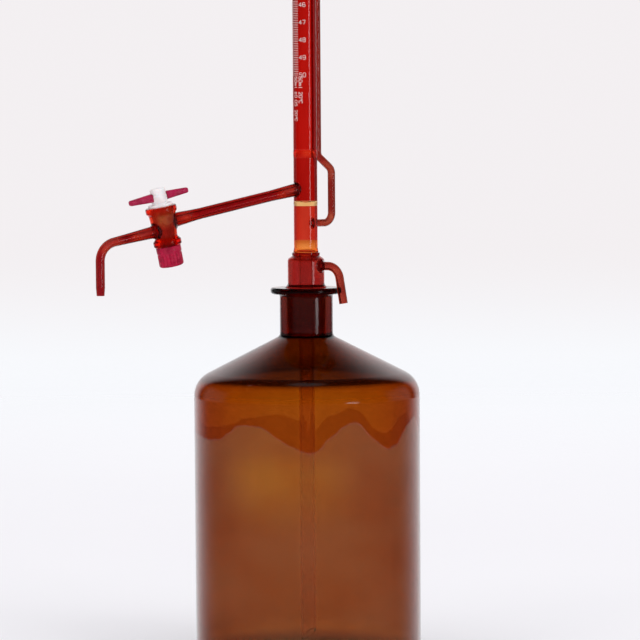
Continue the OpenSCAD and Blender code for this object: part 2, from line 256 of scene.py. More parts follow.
def make_world():
    """Pale backdrop to the eye. Reflections see a studio: the backdrop straight ahead, a
    white table low down, a dark room above the table and one narrow window to the right
    behind the camera. Light through the glass comes from the backdrop and its dimmer wings."""
    world = bpy.data.worlds.new("studio")
    bpy.context.scene.world = world
    world.use_nodes = True
    n = Nodes(world.node_tree)
    x, y, z = n.xyz("Generated")
    off = n.turn(x, y, FRONT)       # to the right as the camera sees it
    elevation = n.times(n.math("ARCSINE", z), 180 / math.pi)
    side = n.math("ABSOLUTE", off)
    ahead = n.math("SUBTRACT", 180.0, side)
    height = n.math("ABSOLUTE", elevation)

    table = n.smooth(elevation, EDGE_ELEVATION - 0.15, EDGE_ELEVATION + 0.15, 1.0, 0.0)

    # what a mirror sees
    across = n.smooth(n.math("ABSOLUTE", n.math("SUBTRACT", off, WINDOW_TURN)), 4.0, 9.0, 1.0, 0.0)
    upright = n.times(n.smooth(elevation, -4.1, -3.3), n.smooth(elevation, 2.5, 4.5, 1.0, 0.0))
    lamp = n.smooth(elevation, 76, 84, 0.0, 0.35)
    high = n.smooth(height, 22, 54, 1.0, 0.03)
    backdrop = n.times(n.smooth(ahead, 26, 44, 0.95, 0.0), high)
    aside = n.math("ABSOLUTE", n.math("SUBTRACT", side, PANEL_TURN))
    panels = n.times(n.smooth(aside, 12, 26, 0.22, 0.0), n.smooth(height, 14, 30, 1.0, 0.0))
    room = n.math("ADD", n.math("ADD", backdrop, panels), n.math("ADD", lamp, ROOM_LIGHT))
    room = n.math("ADD", room, n.times(across, upright, WINDOW_LIGHT))
    wall = n.times(n.smooth(elevation, -2.9, -2.5, 0.13, 0.0), n.smooth(side, 48, 70, 1.0, 0.0))
    room = n.math("ADD", room, wall)
    mirror = n.blend(table, room, n.smooth(side, 118, 158, 0.06, 1.0))

    # what is seen through glass: the backdrop ahead, and dimmer to the sides
    high = n.smooth(height, 22, 54, 1.0, 0.05)
    beyond = n.times(n.smooth(ahead, 26, 44, 0.95, WING_LIGHT), high)
    through = n.blend(table, beyond, n.smooth(side, 118, 158, WING_LIGHT, 1.0))

    paths = n.add("ShaderNodeLightPath")
    level = n.blend(paths.outputs["Is Glossy Ray"], 1.0, mirror)
    level = n.blend(paths.outputs["Is Transmission Ray"], level, through)
    tone = n.mix(n.smooth(elevation, -4.7, -2.2), PALE_LOW, PALE)
    light = n.add("ShaderNodeBackground", {"Color": tone, "Strength": level})
    n.tree.links.new(light.outputs[0], n.add("ShaderNodeOutputWorld").inputs["Surface"])


def make_lamp(name, at, aim, size, power):
    data = bpy.data.lights.new(name, "AREA")
    data.shape = "RECTANGLE"
    data.size, data.size_y = size
    data.energy = power
    lamp = bpy.data.objects.new(name, data)
    bpy.context.scene.collection.objects.link(lamp)
    lamp.location = at
    lamp.rotation_euler = (Vector(aim) - Vector(at)).to_track_quat("-Z", "Y").to_euler()
    lamp.visible_transmission = False
    lamp.visible_glossy = False
    lamp.visible_camera = False


def make_floor():
    material, n = new_material("floor_paper")
    place = n.add("ShaderNodeTexCoord").outputs["Object"]
    far = n.add("ShaderNodeVectorMath", {0: place}, operation="LENGTH").outputs["Value"]
    grain = n.noise(180, 3)
    tone = n.mix(n.noise(3, 2), (0.86, 0.875, 0.90, 1), (0.88, 0.895, 0.92, 1))
    paper = n.add("ShaderNodeBsdfDiffuse", {"Color": tone, "Normal": n.bump(grain, 0.15, 0.0004)})
    clear = n.add("ShaderNodeBsdfTransparent")
    fade = n.smooth(far, 0.6, 2.6)
    both = n.add("ShaderNodeMixShader", {0: fade, 1: paper.outputs[0], 2: clear.outputs[0]})
    finish_material(n, both)
    rings, spokes, reach = 24, 72, 6.0
    verts, faces = [(0, 0, 0)], []
    for i in range(1, rings + 1):
        r = reach * (i / rings) ** 1.6
        verts += [(r * math.cos(2 * math.pi * k / spokes), r * math.sin(2 * math.pi * k / spokes), 0)
                  for k in range(spokes)]
    for k in range(spokes):
        faces.append((0, 1 + k, 1 + (k + 1) % spokes))
    for i in range(rings - 1):
        a, b = 1 + i * spokes, 1 + (i + 1) * spokes
        faces += [(a + k, b + k, b + (k + 1) % spokes, a + (k + 1) % spokes) for k in range(spokes)]
    mesh = bpy.data.meshes.new("floor")
    mesh.from_pydata(verts, [], faces)
    mesh.materials.append(material)
    floor = bpy.data.objects.new("floor", mesh)
    bpy.context.scene.collection.objects.link(floor)
    floor.location.z = -0.0002
    floor.visible_glossy = False


# ---------------------------------------- materials

def glass(name, passes, wall_mm, ripple=0.06, frost=0.0,
          coat=(1.0, 1.0, 1.0), stain=(0.86, 0.74, 0.72), zones=None):
    """Coloured glass. passes is the share of red, green and blue light that gets through
    wall_mm of it; the volume absorption follows from that. coat and stain are the ends of
    the surface's own variation."""
    material, n = new_material(name)
    per_m = [-math.log(p) / (wall_mm * MM) for p in passes]
    density = max(per_m) * 1.005
    tint = [1 - a / density for a in per_m]
    streak = n.noise(70, 3, stretch=(1, 1, 0.3))
    shade = n.mix(n.smooth(streak, 0.42, 0.75), (*coat, 1), (*stain, 1))
    swell = n.noise(28, 1, stretch=(1, 1, 0.25))
    rough = n.smooth(n.noise(240, 4), 0.45, 0.8, 0.0, 0.03)
    if frost:
        rough = n.math("ADD", rough, frost)
    clear = 1.0
    if zones is not None:
        shade, rough, clear = zones(n, shade, rough)
    shader = n.add("ShaderNodeBsdfPrincipled", {
        "Base Color": shade, "Roughness": rough, "IOR": 1.47, "Transmission Weight": clear,
        "Normal": n.bump(swell, ripple, 0.002),
    })
    volume = n.add("ShaderNodeVolumeAbsorption", {"Color": (*tint, 1), "Density": density})
    finish_material(n, shader, volume)
    return material


def joint_zones(points, reach, pale=(1.0, 0.90, 0.84), patchy=0.3):
    """Surface stain that is missing in blotches and within reach of the points, in mm; the pale spot on the
    barrel's front is a painted highlight.
    """
    def zones(n, shade, rough):
        place = n.add("ShaderNodeTexCoord").outputs["Object"]
        near = 0.0
        for point in points:
            centre = tuple(Vector(point) * MM)
            gap = n.add("ShaderNodeVectorMath", {0: place, 1: centre}, operation="DISTANCE").outputs["Value"]
            near = n.math("MAXIMUM", near, n.smooth(gap, reach * 0.5 * MM, reach * 1.3 * MM, 1.0, 0.0))
        blotch = n.smooth(n.noise(130, 4), 0.40, 0.66)
        bare = n.math("ADD", n.times(near, n.math("MULTIPLY_ADD", blotch, 0.6, 0.4)),
                      n.times(n.smooth(blotch, 0.75, 1.0), patchy), clamp=True)
        rough = n.math("ADD", rough, n.times(near, 0.3))
        return n.mix(bare, shade, (*pale, 1)), rough, 1.0
    return zones


def fused_zones(n, shade, rough):
    """Bare glass at the column's foot, which the stain shades towards its top."""
    z = n.xyz()[2]
    high = n.smooth(z, (COLUMN_Z + 3.5) * MM, (COLUMN_Z + 7.0) * MM)
    return n.mix(high, shade, n.mix(1.0, shade, (0.84, 0.70, 0.62, 1), "MULTIPLY")), rough, 1.0


def seam_zones(n, shade, rough):
    """A painted highlight: the seal's tint is paler in a patch on its front side."""
    x, y, z = n.xyz()
    aside = n.math("ABSOLUTE", n.turn(x, y, FRONT + 16))
    level = n.smooth(n.math("ABSOLUTE", n.math("SUBTRACT", z, SEAM_Z * MM)), 0.6 * MM, 2.4 * MM, 1.0, 0.0)
    # painted highlight: this patch lightens the seal's tint on its front side
    bare = n.times(n.smooth(aside, 8, 46, 1.0, 0.0), level, n.smooth(n.noise(260, 3), 0.3, 0.6, 0.6, 1.0))
    return n.mix(bare, shade, (1.0, 0.93, 0.86, 1)), rough, 1.0


def bottle_zones(n, shade, rough):
    """The ground taper inside the neck, painted shade that darkens the shoulder, a darker, less red
    tint on the neck, and a hazy film on the body which ends in a wavy line, with a painted glow
    on its front and a painted sheen at its sides."""
    x, y, z = n.xyz()
    r = n.math("SQRT", n.math("ADD", n.times(x, x), n.times(y, y)))
    inside = n.smooth(r, (CONE_R + 0.5) * MM, (CONE_R + 0.9) * MM, 1.0, 0.0)
    high = n.smooth(z, (cone_low.z - 0.5) * MM, (cone_low.z + 0.5) * MM)
    rough = n.math("MULTIPLY_ADD", n.times(inside, high), 0.14, rough)

    # painted shade: the shoulder's tint is multiplied by greys, darkest, with noise, below 175 mm by its
    # corner
    shoulder = n.times(n.smooth(z, 0.1655, 0.1690), n.smooth(z, 0.1925, 0.1965, 1.0, 0.0))
    deep = n.mix(n.noise(45, 3), (0.33, 0.31, 0.31, 1), (0.24, 0.22, 0.22, 1))
    dark = n.mix(n.smooth(z, 0.175, 0.182), deep, (0.52, 0.48, 0.47, 1))
    shade = n.mix(shoulder, shade, n.mix(1.0, shade, dark, "MULTIPLY"))
    shade = n.mix(n.smooth(z, 0.195, 0.199), shade, n.mix(1.0, shade, (0.72, 0.92, 0.85, 1), "MULTIPLY"))

    turn = n.turn(x, y, FRONT)
    rate = n.blend(n.math("GREATER_THAN", turn, 0.0), 5.8, 8.0)
    wave = n.math("COSINE", n.times(rate, math.pi / 180, turn))
    tall = n.times(n.smooth(turn, -62, -40, 0.3, 1.0), 0.0072)
    wobble = n.math("MULTIPLY_ADD", n.noise(55, 3), 0.012, -0.006)
    line = n.math("ADD", n.math("MULTIPLY_ADD", n.times(wave, tall), -1.0, 0.1385), wobble)
    below = n.smooth(n.math("SUBTRACT", z, line), -0.0009, 0.0009, 1.0, 0.0)
    foot = n.smooth(z, 0.006, 0.02)
    outside = n.smooth(r, (BODY_R - 1.6) * MM, (BODY_R - 0.8) * MM)
    film = n.times(below, foot, outside)
    thick = n.smooth(n.noise(16, 3, stretch=(1, 1, 1.6)), 0.3, 0.7, 0.06, 0.10)
    # painted glow: the film is tinted a brighter orange on the front of the body, from 78 mm up and weaker
    # above 134 mm
    glow = n.times(n.smooth(turn, -54, -18), n.smooth(turn, -6, 32, 1.0, 0.0), n.smooth(z, 0.078, 0.120),
                   n.smooth(z, 0.117, 0.134, 1.0, 0.35),
                   n.smooth(n.noise(22, 2, stretch=(1, 1, 1.5)), 0.25, 0.6, 0.7, 1.0))
    film_tint_and_painted_glow = n.mix(glow, (0.60, 0.42, 0.20, 1), (1.0, 0.80, 0.17, 1))
    # painted sheen: 50 to 120 degrees round from the front, the film is greyer and thicker
    aside = n.math("ABSOLUTE", turn)
    painted_side_sheen = n.times(n.smooth(aside, 50, 68), n.smooth(aside, 95, 120, 1.0, 0.0))
    shade = n.mix(film, shade, n.mix(painted_side_sheen, film_tint_and_painted_glow, (0.66, 0.58, 0.52, 1)))
    film = n.times(film, n.math("MULTIPLY_ADD", painted_side_sheen, 0.07, thick))
    return shade, rough, n.math("SUBTRACT", 1.0, film)


def plastic(name, colour, darker, roughness, subsurface, speck=0.0):
    material, n = new_material(name)
    mottle = n.smooth(n.noise(220, 4), 0.35, 0.75)
    tone = n.mix(mottle, (*colour, 1), (*darker, 1))
    if speck:
        dust = n.smooth(n.noise(2600, 2), 0.70, 0.76)
        tone = n.mix(n.times(dust, speck), tone, (0.75, 0.74, 0.72, 1))
    rough = n.smooth(n.noise(500, 3), 0.3, 0.8, roughness * 0.8, roughness * 1.35)
    shader = n.add("ShaderNodeBsdfPrincipled", {
        "Base Color": tone, "Roughness": rough, "IOR": 1.46,
        "Subsurface Weight": subsurface, "Subsurface Radius": (0.6, 0.35, 0.3),
        "Subsurface Scale": 0.0015,
        "Normal": n.bump(n.noise(900, 3), 0.12, 0.0002),
    })
    finish_material(n, shader)
    return material


def enamel():
    material, n = new_material("white_enamel")
    tone = n.mix(n.noise(900, 3), (0.86, 0.76, 0.72, 1), (0.55, 0.38, 0.36, 1))
    shader = n.add("ShaderNodeBsdfPrincipled", {
        "Base Color": tone, "Roughness": 0.42, "Normal": n.bump(n.noise(3500, 2), 0.3, 0.00003)})
    finish_material(n, shader)
    return material


# ---------------------------------------- mesh helpers

def new_piece(name, verts, faces, material, body, replaces=(), sharp=40, place=None):
    mesh = bpy.data.meshes.new(name)
    if place is not None:
        verts = [place @ Vector(v) for v in verts]
    mesh.from_pydata([tuple(c * MM for c in v) for v in verts], [], faces)
    mesh.validate()
    mesh.shade_smooth()
    mesh.set_sharp_from_angle(angle=math.radians(sharp))
    mesh.materials.append(material)
    piece = bpy.data.objects.new(name, mesh)
    bpy.context.scene.collection.objects.link(piece)
    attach(piece, body)
    if replaces:
        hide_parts(*replaces)


def burette_glass(name, verts, faces, material, *nodes, place=None):
    new_piece(name, verts, faces, material, "burette", nodes, place=place)


def band(a, b, count):
    """Faces between two rings of count points, the first of which are a and b."""
    return [(a + k, a + (k + 1) % count, b + (k + 1) % count, b + k) for k in range(count)]


def rounded(corners, closed=True):
    """An outline through the corners (x, z, radius), each rounded with an arc."""
    out = []
    count = len(corners)
    for i, corner in enumerate(corners):
        x, z, radius = corner if len(corner) == 3 else (*corner, 0)
        here = Vector((x, z))
        if not radius or (not closed and i in (0, count - 1)):
            out.append((x, z))
            continue
        before = Vector(corners[i - 1][:2]) - here
        after = Vector(corners[(i + 1) % count][:2]) - here
        half = before.angle(after) / 2
        reach = min(radius / math.tan(half), before.length * 0.499, after.length * 0.499)
        radius = reach * math.tan(half)
        centre = here + (before.normalized() + after.normalized()).normalized() * radius / math.sin(half)
        start = here + before.normalized() * reach - centre
        sweep = math.pi - 2 * half
        turn = 1 if before.x * after.y - before.y * after.x < 0 else -1
        steps = max(3, round(math.degrees(sweep) / 9))
        for k in range(steps + 1):
            a = turn * sweep * k / steps
            out.append((centre.x + start.x * math.cos(a) - start.y * math.sin(a),
                        centre.y + start.x * math.sin(a) + start.y * math.cos(a)))
    return out


def braced(profile):
    """The outline with two more points in each long side, so that the shading of its ends
    doesn't spread along it."""
    out = []
    for i, a in enumerate(profile):
        out.append(a)
        a, b = Vector(a), Vector(profile[(i + 1) % len(profile)])
        length = (b - a).length
        if length > 3:
            out += [tuple(a.lerp(b, 0.35 / length)), tuple(b.lerp(a, 0.35 / length))]
    return out


def lathe(profile, segments=96):
    """A closed outline of (radius, height) points, turned about Z."""
    verts, faces, rows = [], [], []
    for r, z in braced(profile):
        if r < 1e-6:
            rows.append([len(verts)] * segments)
            verts.append((0, 0, z))
        else:
            rows.append(list(range(len(verts), len(verts) + segments)))
            verts += [(r * math.cos(2 * math.pi * k / segments), r * math.sin(2 * math.pi * k / segments), z)
                      for k in range(segments)]
    for i, row in enumerate(rows):
        nxt = rows[(i + 1) % len(rows)]
        for k in range(segments):
            k2 = (k + 1) % segments
            ring = [row[k], row[k2], nxt[k2], nxt[k]]
            face = [v for j, v in enumerate(ring) if v not in ring[:j]]
            if len(face) > 2:
                faces.append(face)
    return verts, faces


def tube_wall(outer, inner, low, high, lip=0.0):
    """Outline of a plain tube's wall, anticlockwise from its inner foot."""
    return rounded([(inner, low), (outer, low, lip), (outer, high, lip), (inner, high)])


class Landing:
    """The round wall that a tube is melted onto."""

    def __init__(self, point, axis, radius, flare, sink=0.35):
        self.point, self.axis, self.radius = Vector(point), Vector(axis).normalized(), radius
        self.flare, self.sink = flare, sink

    def reach(self, start, way):
        """How far along way from start the wall is, on the side that the tube comes from."""
        d = start - self.point
        d -= self.axis * d.dot(self.axis)
        w = way - self.axis * way.dot(self.axis)
        a, b, c = w.dot(w), 2 * d.dot(w), d.dot(d) - self.radius ** 2
        inside = max(b * b - 4 * a * c, 0.0)
        return (-b + math.sqrt(inside)) / (2 * a)


def route(start, heading, side, moves):
    """Points and directions along moves: (length, 0) for a straight, or (radius, degrees)
    for a bend towards side, or away from it where the angle is negative."""
    p, t, n = Vector(start), Vector(heading).normalized(), Vector(side).normalized()
    points, ways = [p.copy()], [t.copy()]
    for i, (size, turn) in enumerate(moves):
        if not turn:
            brace = 0.4 if size > 3 else 0
            stops = [brace] * (brace and i > 0) + [size - brace] * (brace and i < len(moves) - 1) + [size]
            points += [p + t * stop for stop in stops]
            ways += [t.copy() for _ in stops]
            p = p + t * size
            continue
        sign = 1 if turn > 0 else -1
        centre = p + n * sign * size
        steps = max(6, round(abs(turn) / 6))
        t0, n0 = t.copy(), n.copy()
        for k in range(1, steps + 1):
            a = math.radians(abs(turn)) * k / steps
            p = centre - n0 * sign * size * math.cos(a) + t0 * size * math.sin(a)
            t = t0 * math.cos(a) + n0 * sign * math.sin(a)
            n = n0 * math.cos(a) - t0 * sign * math.sin(a)
            points.append(p.copy())
            ways.append(t.copy())
    return points, ways


def ring_basis(ways):
    """A pair of directions across the path at each of its points, carried along without twist."""
    u = ways[0].orthogonal().normalized()
    out = []
    for i, t in enumerate(ways):
        if i:
            u = (ways[i - 1].rotation_difference(t) @ u)
        u = (u - t * u.dot(t)).normalized()
        out.append((u, t.cross(u)))
    return out


def glass_tube(points, ways, radius, bore, start=None, end=None, segments=40, widths=None):
    """A hollow tube along a path. start and end are Landings where it is melted onto a wall.
    widths may give (distance, radius, bore) stops that replace the plain radii."""
    basis = ring_basis(ways)
    dist = [0.0]
    for a, b in zip(points, points[1:]):
        dist.append(dist[-1] + (b - a).length)

    def at(s, which):
        if not widths:
            return (radius, bore)[which]
        for (s0, *w0), (s1, *w1) in zip(widths, widths[1:]):
            if s <= s1:
                f = min(max((s - s0) / (s1 - s0), 0), 1)
                return w0[which] + (w1[which] - w0[which]) * f
        return widths[-1][1 + which]

    def across(i, r, k):
        u, v = basis[i]
        a = 2 * math.pi * k / segments
        return (u * math.cos(a) + v * math.sin(a)) * r

    def landed(i, land, outward, flare_to):
        rings = []
        steps = 7
        for j in range(steps + 1):
            a = QUARTER * j / steps
            s = land.flare * (1 - math.cos(a)) - (land.sink if j == 0 else 0)
            r = flare_to + land.flare * (1 - math.sin(a))
            ring = []
            for k in range(segments):
                p = points[i] + across(i, r, k)
                ring.append(p + outward * (land.reach(p, outward) + s))
            rings.append(ring)
        return rings

    def inner_land(i, land, outward, r):
        ring = []
        for k in range(segments):
            p = points[i] + across(i, r, k)
            ring.append(p + outward * (land.reach(p, outward) - land.sink))
        return ring

    outer, inner = [], []
    last = len(points) - 1
    for i in range(len(points)):
        if i == 0 and start:
            outer += landed(0, start, ways[0], at(0, 0))
            inner.append(inner_land(0, start, ways[0], at(0, 1)))
        elif i == last and end:
            outer += reversed(landed(last, end, -ways[last], at(dist[last], 0)))
            inner.append(inner_land(last, end, -ways[last], at(dist[last], 1)))
        else:
            outer.append([points[i] + across(i, at(dist[i], 0), k) for k in range(segments)])
            inner.append([points[i] + across(i, at(dist[i], 1), k) for k in range(segments)])
    verts, faces = [], []
    loop = outer + list(reversed(inner))
    for ring in loop:
        verts += [tuple(p) for p in ring]
    rows = len(loop)
    for i in range(rows):
        faces += band(i * segments, (i + 1) % rows * segments, segments)
    return verts, faces


# ---------------------------------------- bottle

def make_bottle(material):
    wall, slope = 2.6, math.tan(math.radians(27))
    neck_r, flange_r = 15.6, 21.0
    corner_z = 167.6
    throat_z = corner_z + (BODY_R - neck_r) * slope
    in_corner_z = corner_z - 1.6
    taper = lambda z: CONE_R - (cone_high.z - z) / 20 + 0.05
    outer = rounded([
        (0, 2.4), (30, 1.8, 40), (50, 0, 3), (BODY_R, 0, 7), (BODY_R, corner_z, 15),
        (neck_r, throat_z, 3), (neck_r, BOTTLE_H - 3.8, 1.6), (flange_r, BOTTLE_H - 3.8, 1.6),
        (flange_r, BOTTLE_H, 1.5), (taper(BOTTLE_H) + 0.8, BOTTLE_H, 0.5),
    ], closed=False)
    inner = rounded([
        (taper(BOTTLE_H - 1), BOTTLE_H - 1, 0.6), (taper(cone_low.z), cone_low.z + 0.4, 1.2),
        (14, in_corner_z + (BODY_R - wall - 14) * slope, 1.5), (BODY_R - wall, in_corner_z, 12.4),
        (BODY_R - wall, 5.6, 6), (50, 5.8, 30), (0, 8),
    ], closed=False)
    verts, faces = lathe(outer + inner, 160)
    new_piece("bottle_glass", verts, faces, material, "bottle", ["reservoir_bottle"])


# ---------------------------------------- burette glass

def make_cone(material):
    wall = 1.7
    low_r = CONE_R - (cone_high.z - cone_low.z) / 20
    profile = rounded([
        (low_r - wall, cone_low.z, 0.5), (low_r, cone_low.z, 0.5),
        (CONE_R, cone_high.z), (CONE_R - wall, cone_high.z)])
    verts, faces = lathe(profile)
    new_piece("joint_cone", verts, faces, material, "burette", ["ground_cone"])


def make_chamber(material):
    wall = 1.5
    foot, top = cone_high.z, chamber_high.z
    profile = rounded([
        (CONE_R - 1.7, foot), (CONE_R, foot, 0.3), (CONE_R, foot + 0.8, 0.6),
        (CHAMBER_R, foot + 2.4, 1.4), (CHAMBER_R, top - 3.9, 2.2),
        (TUBE_R + 0.9, top - 1.9, 0.8), (TUBE_R + 1.25, top - 1.4, 0.4), (TUBE_R + 1.25, top - 0.1, 0.5),
        (TUBE_R + 0.2, top, 0.2), (TUBE_R - 1.4, top), (TUBE_R - 1.6, top - 2.2, 1.2),
        (CHAMBER_R - wall, top - 4.6, 1.6), (CHAMBER_R - wall, foot + 2.9, 1)])
    verts, faces = lathe(profile)
    burette_glass("air_chamber_glass", verts, faces, material, "air_chamber")


def make_inlet(material):
    turn = math.radians(-60)
    out = Vector((math.cos(turn), math.sin(turn), 0))
    points, ways = route((0, 0, 234.7), out, (0, 0, -1), [(15.2, 0), (8, 80), (15.4, 0)])
    start = Landing((0, 0, 0), (0, 0, 1), CHAMBER_R, 1.9, 0.1)
    verts, faces = glass_tube(points, ways, 2.5, 1.5, start=start)
    burette_glass("air_inlet_tube", verts, faces, material, "air_inlet")


def make_dip(material):
    bevel = math.tan(math.radians(35))
    profile = tube_wall(DIP_R, DIP_R - 1.3, dip_low.z, chamber_high.z - 0.3, 0.3)
    verts, faces = lathe(profile, 64)
    cut = [(x, y, z + max(0, (x + DIP_R) * bevel) if z < dip_low.z + 1 else z) for x, y, z in verts]
    burette_glass("dip_tube_glass", cut, faces, material, "dip_tube")


def make_column(material, pale_material):
    """The stain stops short of the fused joint at the foot, which stays orange."""
    bare = 7.3
    top = COLUMN_Z + bare
    profile = rounded([
        (BORE_R, COLUMN_Z + 0.05), (TUBE_R + 0.5, COLUMN_Z + 0.05, 0.3), (TUBE_R + 0.3, COLUMN_Z + 1.2, 0.5),
        (TUBE_R, COLUMN_Z + 2.6, 2), (TUBE_R, top), (BORE_R, top)])
    verts, faces = lathe(profile, 128)
    new_piece("column_fused_foot", verts, faces, pale_material, "burette")
    verts, faces = lathe(tube_wall(TUBE_R, BORE_R, top + 0.02, FLOOR_Z), 128)
    burette_glass("column_glass", verts, faces, material, "support_tube")


def make_tube_floor(material):
    profile = rounded([
        (0, FLOOR_Z + 0.2), (TUBE_R - 2, FLOOR_Z + 0.02, 0.5), (TUBE_R, FLOOR_Z + 0.02, 0.2),
        (TUBE_R + 0.12, (FLOOR_Z + FLOOR_TOP_Z) / 2, 1), (TUBE_R, FLOOR_TOP_Z - 0.02, 0.2),
        (BORE_R, FLOOR_TOP_Z - 0.02, 0.4), (BORE_R - 1.8, FLOOR_TOP_Z - 0.9, 2),
        (0, FLOOR_TOP_Z - 1.4)], closed=False)
    verts, faces = lathe(profile, 128)
    new_piece("tube_floor_glass", verts, faces, material, "burette", ["tube_floor"])


def make_tube(tap_material, seam_material, material):
    """The seal between the two lengths is a thicker, paler ring, with a painted highlight on its front side.
    """
    seam_low, seam_high = SEAM_Z - 2.6, SEAM_Z + 2.4
    verts, faces = lathe(tube_wall(TUBE_R, BORE_R, FLOOR_TOP_Z, seam_low), 128)
    burette_glass("tap_section_glass", verts, faces, tap_material, "tap_section")
    profile = rounded([
        (BORE_R, seam_low + 0.02), (TUBE_R, seam_low + 0.02), (TUBE_R + 0.16, SEAM_Z, 4),
        (TUBE_R, seam_high - 0.02), (BORE_R, seam_high - 0.02), (BORE_R - 0.7, SEAM_Z, 2)])
    verts, faces = lathe(profile, 128)
    burette_glass("tube_seal_ring", verts, faces, seam_material)
    verts, faces = lathe(tube_wall(TUBE_R, BORE_R, seam_high, HEAD_Z), 128)
    burette_glass("graduated_tube_glass", verts, faces, material, "measuring_tube")


def make_feed(material):
    """The loop leaves the column level, stands up and slants back beside the tube."""
    low_z, high_z, reach = 259.5, 288.5, 20.6
    slant, bend_a, bend_b, bend_low = 53.0, 5.0, 4.0, 6.0
    a = math.radians(slant)
    rise = (reach - FEED_AT.length - (bend_a + bend_b) * (1 - math.cos(a))) / math.sin(a)
    top_z = high_z + (bend_a + bend_b) * math.sin(a) + rise * math.cos(a)
    points, ways = route((0, 0, low_z), FEED_OUT, (0, 0, 1), [
        (reach - bend_low, 0), (bend_low, 90), (high_z - low_z - bend_low, 0),
        (bend_a, slant), (rise, 0), (bend_b, -slant), (0.9, 0)])
    start = Landing((0, 0, 0), (0, 0, 1), TUBE_R, 1.1)
    verts, faces = glass_tube(points, ways, FEED_R, FEED_BORE, start=start)
    burette_glass("feed_loop_glass", verts, faces, material, "feed_loop")
    low = FEED_AT + Vector((0, 0, top_z + 0.92))
    points, ways = route(low, (0, 0, 1), FEED_OUT, [(riser_high.z - low.z, 0)])
    verts, faces = glass_tube(points, ways, FEED_R, FEED_BORE)
    burette_glass("feed_riser_glass", verts, faces, material, "feed_riser")


def make_bridges(material):
    """Beads of glass melted between the two tubes."""
    count = 4
    verts, faces = [], []
    gap_mid = (TUBE_R + FEED_AT.length - FEED_R) / 2
    low, high = bridge_low.z, bridge_high.z
    side = Vector((-FEED_OUT.y, FEED_OUT.x, 0))
    rows, cols = 10, 20
    for i in range(count):
        z = low + 1.9 + (high - low - 3.8) * i / (count - 1)
        base = len(verts)
        for j in range(rows + 1):
            a = math.pi * (j / rows - 0.5)
            for k in range(cols):
                b = 2 * math.pi * k / cols
                p = FEED_OUT * (gap_mid + math.cos(a) * math.cos(b)) + side * 2.0 * math.cos(a) * math.sin(b)
                verts.append(tuple(p + Vector((0, 0, z + 2.3 * math.sin(a)))))
        for j in range(rows):
            faces += band(base + j * cols, base + (j + 1) * cols, cols)
    burette_glass("riser_bridge_beads", verts, faces, material, "riser_bridges")


def make_head(material):
    head_r, wall = head_high.x, 1.4
    low, mid, neck = HEAD_Z + 9, HEAD_Z + 37, HEAD_Z + 46
    sr = lambda z: 7.25 - (HEAD_TOP_Z - z) / 20 + 0.05
    socket_r = 9.2
    profile = rounded([
        (BORE_R, HEAD_Z), (TUBE_R, HEAD_Z, 2), (head_r, low - 2.5, 6), (head_r, mid + 3, 8),
        (socket_r, neck, 4), (socket_r, HEAD_TOP_Z - 3.2, 2), (socket_r + 1.1, HEAD_TOP_Z - 2, 1.0),
        (socket_r + 1.1, HEAD_TOP_Z, 1.0), (sr(HEAD_TOP_Z) + 0.3, HEAD_TOP_Z, 0.3), (sr(neck), neck, 2),
        (head_r - wall, mid + 2, 7), (head_r - wall, low - 2.2, 5)])
    verts, faces = lathe(profile, 128)
    burette_glass("zero_head_glass", verts, faces, material, "zero_head")


def make_siphon(material):
    bend = FEED_AT.length / 2
    rise = siphon_high.z - FEED_R - bend - riser_high.z
    top = riser_high.z + rise
    fall = top - ZERO_Z
    points, ways = route(FEED_AT + Vector((0, 0, riser_high.z)), (0, 0, 1), -FEED_OUT,
                         [(rise, 0), (bend, 180), (fall - 12, 0), (12, 0)])
    length = rise + bend * math.pi + fall
    widths = [(0, FEED_R, FEED_BORE), (length - 12, FEED_R, FEED_BORE), (length, 1.3, 0.6)]
    verts, faces = glass_tube(points, ways, FEED_R, FEED_BORE, widths=widths)
    burette_glass("zero_siphon_glass", verts, faces, material, "zero_siphon")


def make_stopper(material):
    sr = lambda z: 7.25 - (HEAD_TOP_Z - z) / 20
    low, top = stopper_low.z, stopper_high.z
    profile = rounded([
        (1.2, low, 0.4), (sr(low), low, 0.6), (sr(HEAD_TOP_Z), HEAD_TOP_Z), (6.0, HEAD_TOP_Z + 2.6, 2.5),
        (6.2, HEAD_TOP_Z + 5.5, 3), (10.2, top - 9, 4), (10.2, top - 2.6, 3), (5, top, 3), (1.2, top, 0.4)])
    verts, faces = lathe(profile)
    new_piece("vent_stopper_glass", verts, faces, material, "stopper", ["vent_stopper"])


# ---------------------------------------- tap

BARREL_HALF = 11.5
PLUG_MID_R = 5.55


def plug_r(z):
    return PLUG_MID_R + z / 10


def make_arm(material):
    port = TAP_AT + TAP_AXIS * 2
    length = -port.x / math.cos(ARM_SLOPE)
    start = Landing(TAP_AT, TAP_AXIS, plug_r(2) + 1.55, 1.2)
    end = Landing((0, 0, 0), (0, 0, 1), TUBE_R, 0.8)
    swell = [(0, 4.2, 1.5), (9, 4.1, 1.5), (21, 3.25, 1.5), (length - 24, 3.2, 1.5), (length - 9, 3.7, 1.6),
             (length, 3.7, 1.6)]
    stops = [8, 12, 17, 24, 34, 46, 58, length - 24, length - 18, length - 13, length - 10]
    points = [port] + [port + TAP_INLET * s for s in stops] + [port + TAP_INLET * length]
    ways = [TAP_INLET.copy() for _ in points]
    verts, faces = glass_tube(points, ways, 3.2, 1.5, start=start, end=end, segments=48, widths=swell)
    burette_glass("delivery_arm_glass", verts, faces, material, "delivery_arm")


def make_barrel(material):
    outer = PLUG_MID_R + 1.55
    half = BARREL_HALF
    profile = rounded([
        (plug_r(-half) + 0.05, -half, 0.3), (8.15, -half, 0.7), (8.15, -half + 3.0, 1.2),
        (outer - 0.7, -half + 5.0, 2), (outer + 0.1, -1, 6), (outer + 0.75, half - 4.6, 2),
        (9.1, half - 3.1, 1.1), (9.1, half, 0.9), (plug_r(half) + 0.05, half, 0.3)])
    verts, faces = lathe(profile)
    burette_glass("tap_barrel_glass", verts, faces, material, "stopcock_barrel", place=TAP)


